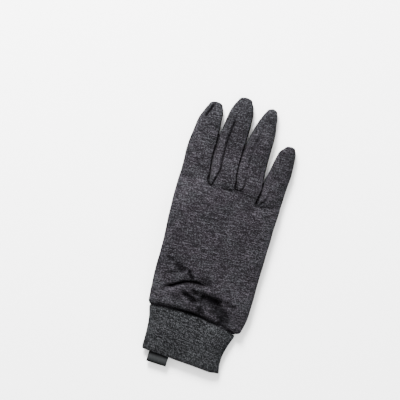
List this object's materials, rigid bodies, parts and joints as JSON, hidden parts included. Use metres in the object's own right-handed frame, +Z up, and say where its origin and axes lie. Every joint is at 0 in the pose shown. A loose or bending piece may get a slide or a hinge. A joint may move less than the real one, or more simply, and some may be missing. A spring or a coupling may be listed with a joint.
{
  "type": "knitted glove liner",
  "caption": "Thin dark knitted glove liner for the right hand, lying palm down with its thumb folded under, with a ribbed cuff and a webbing loop.",
  "frame": {"origin": "under the middle of the whole glove, on the surface it lies on", "axes": "+Y towards the fingertips, +X towards the little finger, +Z up through the back of the hand"},
  "size_m": [0.1044, 0.266, 0.0165],
  "materials": {
    "charcoal_knit": "matt heather knit",
    "rib_knit": "matt ribbed knit",
    "webbing": "flat woven webbing"
  },
  "bodies": {
    "root": {"hand_panel": "charcoal_knit", "fourchette_index_middle": "charcoal_knit", "fourchette_middle_ring": "charcoal_knit", "fourchette_ring_little": "charcoal_knit", "thumb": "charcoal_knit", "cuff": "rib_knit", "pull_loop": "webbing"}
  },
  "joints": []
}
